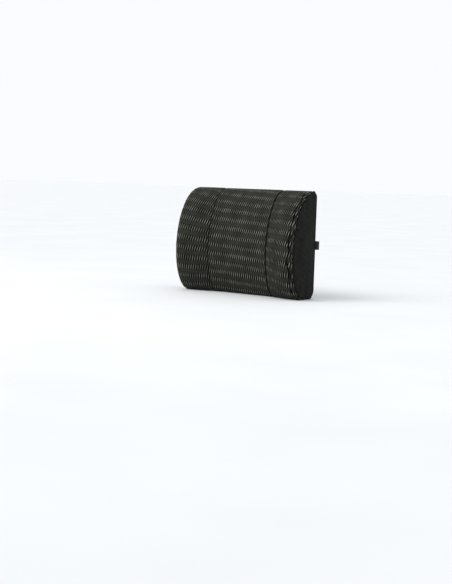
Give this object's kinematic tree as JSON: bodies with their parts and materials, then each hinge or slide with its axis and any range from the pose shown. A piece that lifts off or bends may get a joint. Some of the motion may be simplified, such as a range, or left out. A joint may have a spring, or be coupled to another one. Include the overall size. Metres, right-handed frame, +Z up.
{
  "type": "lumbar support cushion",
  "caption": "Upright D-profile lumbar cushion with a hollowed mesh front, swelling wings, flat zipped back and an elastic strap with a side-release buckle and adjuster",
  "frame": {"origin": "bottom centre of the whole bounding box, on the surface that the cushion stands on", "axes": "+X across the width, to the right as seen from the front; -Y is the crowned front; +Y is the flat back with the strap; +Z up"},
  "size_m": [0.4582, 0.1732, 0.3202],
  "materials": {
    "foam": "moulded polyurethane foam, matte",
    "liner_knit": "thin white stretch knit",
    "air_mesh": "thick 3D air mesh with zigzag ribs",
    "end_mesh": "plain spacer mesh",
    "back_mesh": "plain spacer mesh",
    "zip_tape": "woven polyester tape",
    "zip_coil": "nylon coil",
    "zip_metal": "black painted zinc",
    "webbing": "woven elastic webbing",
    "hardware": "moulded acetal, fine texture",
    "label": "blank woven label"
  },
  "bodies": {
    "cushion": {"foam_core": "foam", "inner_liner": "liner_knit", "front_centre_panel": "air_mesh", "front_left_panel": "air_mesh", "front_right_panel": "air_mesh", "left_end_panel": "end_mesh", "right_end_panel": "end_mesh", "back_upper_panel": "back_mesh", "back_lower_panel": "back_mesh", "zip_upper_tape": "zip_tape", "zip_lower_tape": "zip_tape", "zip_upper_coil": "zip_coil", "zip_lower_coil": "zip_coil", "zip_top_stops": "zip_metal", "zip_bottom_stop": "zip_metal", "strap_left_sewn_end": "webbing", "strap_right_sewn_end": "webbing", "care_label": "label"},
    "strap": {"strap_left": "webbing", "strap_right": "webbing", "strap_return": "webbing", "buckle_socket": "hardware", "buckle_plug": "hardware"},
    "adjuster": {"strap_adjuster": "hardware", "strap_end_loop": "webbing"},
    "upper_prong": {"buckle_upper_prong": "hardware"},
    "lower_prong": {"buckle_lower_prong": "hardware"},
    "slider": {"zip_slider": "zip_metal"},
    "pull_tab": {"zip_pull_tab": "zip_metal"}
  },
  "joints": [
    {"name": "strap_swing", "type": "hinge", "parent": "cushion", "child": "strap", "pos_m": [0, 0.04235, 0.16], "axis": [1, 0, 0], "range_deg": [-25, 25], "stiffness_Nm_per_rad": 0.4},
    {"name": "adjuster_slide", "type": "slide", "parent": "strap", "child": "adjuster", "axis": [-1, 0, 0], "range_m": [0, 0.05], "deforming": ["strap_return"]},
    {"name": "upper_prong_flex", "type": "hinge", "parent": "strap", "child": "upper_prong", "pos_m": [-0.0276, 0.08075, 0.17], "axis": [0, -1, 0], "range_deg": [0, 11], "stiffness_Nm_per_rad": 0.5},
    {"name": "lower_prong_flex", "type": "hinge", "parent": "strap", "child": "lower_prong", "pos_m": [-0.0276, 0.08075, 0.15], "axis": [0, 1, 0], "range_deg": [0, 11], "stiffness_Nm_per_rad": 0.5},
    {"name": "zip_slide", "type": "slide", "parent": "cushion", "child": "slider", "axis": [-1, 0, 0], "range_m": [0, 0.318]},
    {"name": "pull_tab_swing", "type": "hinge", "parent": "slider", "child": "pull_tab", "pos_m": [0.158, 0.0497, 0.046], "axis": [0, 0, -1], "range_deg": [0, 175]}
  ]
}
